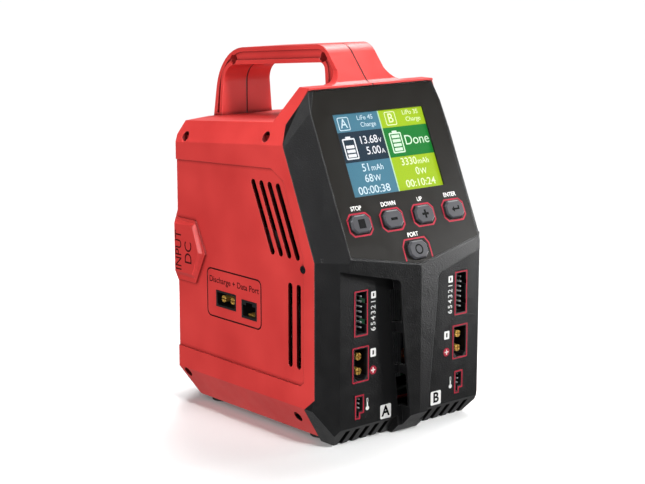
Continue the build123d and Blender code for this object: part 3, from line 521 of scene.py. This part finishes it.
def key_symbols():
    """Dark symbols on the key caps."""
    half = 2.1
    symbols = {
        "stop_key": [rounded(-half, half, -2.2, 2.2, 0.2)],
        "down_key": [rounded(-half, half, -0.65, 0.65)],
        "up_key": [rounded(-half, half, -0.6, 0.6), rounded(-0.6, 0.6, -half, half)],
        "enter_key": [[(-2.6, 0), (-0.8, 1.5), (-0.8, 0.45), (1.7, 0.45), (1.7, 1.6), (2.6, 1.6),
                       (2.6, -0.45), (-0.8, -0.45), (-0.8, -1.5)]],
        "port_key": [circle(0, 0, 2.5), circle(0, 0, 1.75)],
    }
    for name, loops in symbols.items():
        row = PORT_KEY_ROW if name == "port_key" else KEY_ROW
        mark = Print(name.replace("key", "symbol"), screen_face, KEY_TOP, thick=0.02)
        moved = [[(x + KEY_X[name], y + row) for x, y in loop] for loop in loops]
        if name == "port_key":        # a ring: the second loop is its hole
            mark.shape(*moved)
        else:
            for loop in moved:
                mark.shape(loop)
        mark.done(DARK_INK, body=name)


# ---- display picture ----------------------------------------------------------------------------------
LAYER = 0.01                          # thickness of each layer of the display picture
LETTERS_TOP = LCD_TOP + 0.016


def display_areas():
    """Coloured fields: a header, a band and a lower field for each of the two channels."""
    left, middle, right, low = -29.2, -0.1, 29.2, -43.0
    top, header, band = -2.4, -11.3, -26.2
    areas = (
        ("lcd_slate", srgb(72, 127, 150), [(left, middle, header, top), (left, middle, low, band)]),
        ("lcd_navy", srgb(22, 45, 62), [(left, middle, band, header)]),
        ("lcd_lime", srgb(166, 200, 14), [(middle, right, header, top), (middle, right, low, band)]),
        ("lcd_green", srgb(4, 126, 40), [(middle, right, band, header)]),
        ("lcd_divider", srgb(188, 226, 190), [(middle - 0.35, middle + 0.35, low, top)]),
    )
    for name, colour, boxes in areas:
        lift = 0.004 if name == "lcd_divider" else 0
        area = Print(name, screen_face, LCD_TOP + lift, thick=LAYER)
        for box in boxes:
            area.shape(rounded(*box))
        area.done(lit(name, colour))


def battery(picture, x, y, bars):
    """Battery symbol with its lower left corner at (x, y) and this many bars."""
    height = 10.3
    picture.border(x, x + 7.9, y, y + height, 0.7, 0.7, 0.3)
    picture.shape(rounded(x + 2.4, x + 5.5, y + height, y + height + 0.9))
    for i in range(bars):
        foot = y + 1.1 + i * 2.15
        picture.shape(rounded(x + 1.4, x + 6.5, foot, foot + 1.5))


def channel_a():
    """Left channel: charging, with its running values."""
    pale = Print("lcd_values_a", screen_face, LETTERS_TOP, thick=LAYER)
    pale.border(-26.6, -19.6, -10.5, -3.9, 0.4, 0.9, 0.6)
    pale.text("A", -23.1, -7.2, 4.5, bold=0.02, narrow=0.95)
    pale.text("LiFe 4S", -9.2, -5.0, 2.2, narrow=1.1)
    pale.text("Charge", -8.0, -8.5, 2.2, narrow=1.05)
    pale.reading("51", "mAh", -14.0, -29.4, 3.7, 2.8)
    pale.reading("68", "W", -14.0, -34.7, 3.7, 3.0)
    pale.text("00:00:38", -15.2, -40.3, 3.6, bold=0.02, narrow=1.12)
    pale.done(lit("lcd_ice", srgb(222, 244, 252)))
    white = Print("lcd_readings_a", screen_face, LETTERS_TOP, thick=LAYER)
    battery(white, -26.9, -24.7, 3)
    white.reading("13.68", "V", -4.6, -16.1, 3.7, 2.2)
    white.reading("5.00", "A", -4.4, -21.5, 3.7, 2.2)
    white.done(lit("lcd_white", srgb(244, 246, 250)))


def channel_b():
    """Right channel: done, with its last values."""
    pale = Print("lcd_values_b", screen_face, LETTERS_TOP, thick=LAYER)
    pale.border(3.6, 10.5, -10.3, -3.4, 0.4, 0.9, 0.6)
    pale.text("B", 7.0, -6.9, 4.5, bold=0.02)
    pale.text("LiPo 3S", 20.6, -4.6, 2.2, narrow=1.1)
    pale.text("Charge", 21.6, -8.1, 2.2, narrow=1.05)
    pale.reading("3330", "mAh", 16.4, -29.0, 3.6, 2.7)
    pale.reading("0", "W", 16.4, -34.3, 3.6, 2.9)
    pale.text("00:10:24", 15.2, -40.0, 3.5, bold=0.02, narrow=1.12)
    pale.done(lit("lcd_lemon", srgb(246, 252, 206)))
    mint = Print("lcd_readings_b", screen_face, LETTERS_TOP, thick=LAYER)
    battery(mint, 3.1, -24.3, 4)
    mint.text("Done", 20.3, -18.6, 4.7, bold=0.01, narrow=1.05)
    mint.done(lit("lcd_mint", srgb(222, 250, 222)))


# ---- socket legends -----------------------------------------------------------------------------------
BANK_X = 33.0                         # of a bank's column of sockets, either side of the middle
DIGIT_PITCH = 2.64


def socket_outlines(x, letter):
    """Red outlines round the balance, output and temperature sockets of the bank at x."""
    lines = Print(f"socket_outlines_{letter}", port_face, 0.12)
    balance = x + 0.15
    lines.border(balance - 4.3, balance + 4.3, 49.8, 71.8, 0.7, 0.4)
    lines.border(x - 5.2, x + 5.2, 27.6, 44.8, 0.65, 0.5)
    left, key, right = x - 3.1, x - 0.5, x + 1.9
    foot, step, top = 10.1, 12.6, 21.1
    keyed = [(left, top), (right, top), (right, step), (key, step), (key, foot), (left, foot)]
    lines.shape(*stroke(keyed, 0.7, closed=True))
    lines.done(RED_INK)


def socket_legends(letter, digits, poles, bulb, badge):
    """White and red marks beside a bank's sockets, each kind at its own x."""
    legend = Print(f"legends_{letter}", port_face)
    legend.shape(rounded(digits - 1.5, digits + 1.5, 66.9, 70.2, 0.4),
                 rounded(digits - 0.45, digits + 0.45, 67.8, 69.4))
    for i in range(6):
        legend.text(str(i + 1), digits, 65.3 - i * DIGIT_PITCH, 2.75, turn=90, bold=0.02)
    legend.shape(rounded(poles - 1.75, poles + 1.75, 38.6, 42.7, 0.5),
                 rounded(poles - 0.5, poles + 0.5, 39.6, 41.7))
    legend.shape(circle(bulb, 14.1, 1.05))
    legend.shape(rounded(bulb - 0.4, bulb + 0.4, 14.6, 17.0, 0.3))
    legend.shape(rounded(bulb - 0.5, bulb + 0.5, 17.0, 19.0, 0.4),
                 rounded(bulb - 0.25, bulb + 0.25, 17.2, 18.7, 0.2))
    legend.shape(rounded(badge - 3.5, badge + 3.5, 6.6, 13.6, 0.8))
    legend.done(WHITE_INK)

    dot = Print(f"positive_mark_{letter}", port_face)
    dot.shape(circle(poles, 32.1, 2.1))
    dot.done(RED_INK)
    plus = Print(f"plus_mark_{letter}", port_face, 0.03, thick=0.02)
    plus.shape(rounded(poles - 1.3, poles + 1.3, 31.8, 32.4))
    plus.shape(rounded(poles - 0.3, poles + 0.3, 30.8, 33.4))
    plus.done(WHITE_INK)
    name = Print(f"bank_letter_{letter}", port_face, 0.03, thick=0.02)
    name.text(letter.upper(), badge, 10.1, 4.8, bold=0.22)
    name.done(DARK_INK)


# ---- side wall ----------------------------------------------------------------------------------------
def side_print():
    """Painted shade: dark red on the floor of the engraved frame, and dark red lettering on the side wall
    and its badge, standing in for the shade inside engraved letters.
    """
    x, z, half_width, half_height = -(FRONT + 62.4), 58.6, 21.8, 12.4
    groove = Print("frame_groove_shade", side_face, WALL_RECESS - 0.38, thick=0.02)
    groove.border(x - half_width, x + half_width, z - half_height, z + half_height, 0.6, 3.3, 2.7)
    groove.done(ENGRAVING_SHADE_RED)
    # Painted shade: the lettering is dark red for the shade inside letters engraved in the wall and badge
    words = Print("discharge_legend", side_face, WALL_RECESS, thick=0.02)
    words.text("Discharge + Data Port", x, 65.3, 2.9, bold=0.05, narrow=1.02)
    words.done(ENGRAVING_SHADE_RED)
    badge = Print("direct_current_mark", side_face, 1.2, thick=0.02)
    badge.text("DC", -(FRONT + 96.6), 76.0, 5.6, turn=90, bold=0.03)
    badge.text("INPUT", -(FRONT + 105.0), 76.2, 5.0, turn=90, bold=0.02)
    badge.done(ENGRAVING_SHADE_RED)


panel_print()
key_symbols()
display_areas()
channel_a()
channel_b()
socket_outlines(-BANK_X, "a")
socket_legends("a", digits=-25.0, poles=-25.0, bulb=-28.5, badge=-16.7)
socket_outlines(BANK_X, "b")
socket_legends("b", digits=26.0, poles=23.9, bulb=26.9, badge=16.9)
side_print()


# ---- stage, light and camera, in metres ---------------------------------------------------------------
FILL = 0.14                           # strength of the backdrop's light on the object
UNDER_FILL = 0.45                     # its strength in reflections that look down
BACKDROP = 1.05                       # its strength as the camera sees it


def floor():
    """Pale round floor, kept out of reflections and bounces so that the dark plastic stays dark."""
    mesh = bmesh.new()
    bmesh.ops.create_circle(mesh, cap_ends=True, segments=96, radius=9)
    data = bpy.data.meshes.new("floor")
    mesh.to_mesh(data)
    mesh.free()
    n = Nodes("floor_white")
    n.feed("Base Color", n.mix(n.noise(4), srgb(224, 224, 224), srgb(228, 228, 228)))
    n.shader.inputs["Roughness"].default_value = 0.8
    n.shader.inputs["Specular IOR Level"].default_value = 0.0
    n.shader.inputs["Emission Color"].default_value = (1, 1, 1, 1)
    n.shader.inputs["Emission Strength"].default_value = 0.05
    data.materials.append(n.material)
    piece = bpy.data.objects.new("floor", data)
    scene.collection.objects.link(piece)
    piece.visible_glossy = False
    piece.visible_diffuse = False


def studio_world():
    """White backdrop to the camera, and a dim even fill that is brighter in reflections from below."""
    world = bpy.data.worlds.new("studio")
    world.use_nodes = True
    tree = world.node_tree
    path = tree.nodes.new("ShaderNodeLightPath")
    place = tree.nodes.new("ShaderNodeTexCoord")
    parts = tree.nodes.new("ShaderNodeSeparateXYZ")
    tree.links.new(place.outputs["Generated"], parts.inputs[0])
    below = tree.nodes.new("ShaderNodeMapRange")
    ends = (("From Min", -0.45), ("From Max", -0.75), ("To Min", FILL), ("To Max", UNDER_FILL))
    for key, value in ends:
        below.inputs[key].default_value = value
    tree.links.new(parts.outputs[2], below.inputs["Value"])
    gloss, eye = (tree.nodes.new("ShaderNodeMix") for _ in range(2))
    tree.links.new(path.outputs["Is Glossy Ray"], gloss.inputs[0])
    gloss.inputs[2].default_value = FILL
    tree.links.new(below.outputs["Result"], gloss.inputs[3])
    tree.links.new(path.outputs["Is Camera Ray"], eye.inputs[0])
    tree.links.new(gloss.outputs[0], eye.inputs[2])
    eye.inputs[3].default_value = BACKDROP
    tree.links.new(eye.outputs[0], tree.nodes["Background"].inputs["Strength"])
    tree.nodes["Background"].inputs["Color"].default_value = (1, 1, 1, 1)
    scene.world = world


def area_light(name, place, aim, size, power, spread=180):
    """Soft rectangular light aimed at a point, its beam spread over this many degrees."""
    data = bpy.data.lights.new(name, "AREA")
    data.shape = "RECTANGLE"
    data.size, data.size_y = size
    data.energy = power
    data.spread = math.radians(spread)
    light = bpy.data.objects.new(name, data)
    light.location = place
    light.rotation_mode = "QUATERNION"
    light.rotation_quaternion = (Vector(aim) - Vector(place)).to_track_quat("-Z", "Y")
    scene.collection.objects.link(light)


def sun_light(place, strength, softness):
    """Even light from one side of the sky, softened over this many degrees."""
    data = bpy.data.lights.new("sky", "SUN")
    data.energy = strength
    data.angle = math.radians(softness)
    light = bpy.data.objects.new("sky", data)
    light.rotation_mode = "QUATERNION"
    light.rotation_quaternion = (-Vector(place)).to_track_quat("-Z", "Y")
    scene.collection.objects.link(light)


def camera():
    """Camera at the product view: a little above the middle, 41 degrees round to the left."""
    azimuth, elevation, distance = math.radians(-40.61), math.radians(11.29), 0.72828
    target = Vector((-49.25, -55.5, 95.58)) * MM + Vector((0, 0, DATUM))
    back = Vector((math.sin(azimuth) * math.cos(elevation), -math.cos(azimuth) * math.cos(elevation),
                   math.sin(elevation)))
    data = bpy.data.cameras.new("camera")
    data.sensor_width = 36
    data.lens = 88.62
    data.clip_start, data.clip_end = 0.01, 50
    eye = bpy.data.objects.new("camera", data)
    eye.location = target + back * distance
    eye.rotation_mode = "QUATERNION"
    eye.rotation_quaternion = (-back).to_track_quat("-Z", "Y")
    scene.collection.objects.link(eye)
    scene.camera = eye


floor()
studio_world()
scene.view_settings.view_transform = "Standard"
area_light("front", (-0.05, -0.75, 0.85), (0, -0.03, 0.18), (0.3, 0.3), 0.62, spread=30)
area_light("left", (-0.8, -0.14, 0.10), (-0.05, -0.02, 0.09), (0.3, 0.25), 6.0)
area_light("right", (0.42, -0.24, 0.11), (0, -0.06, 0.06), (0.10, 0.20), 0.17, spread=40)
area_light("shoulder", (-0.66, -0.20, 0.56), (0, 0, 0.15), (0.2, 0.2), 1.0)
sun_light((0.50, 0.30, 0.81), 4.4, 36)
camera()
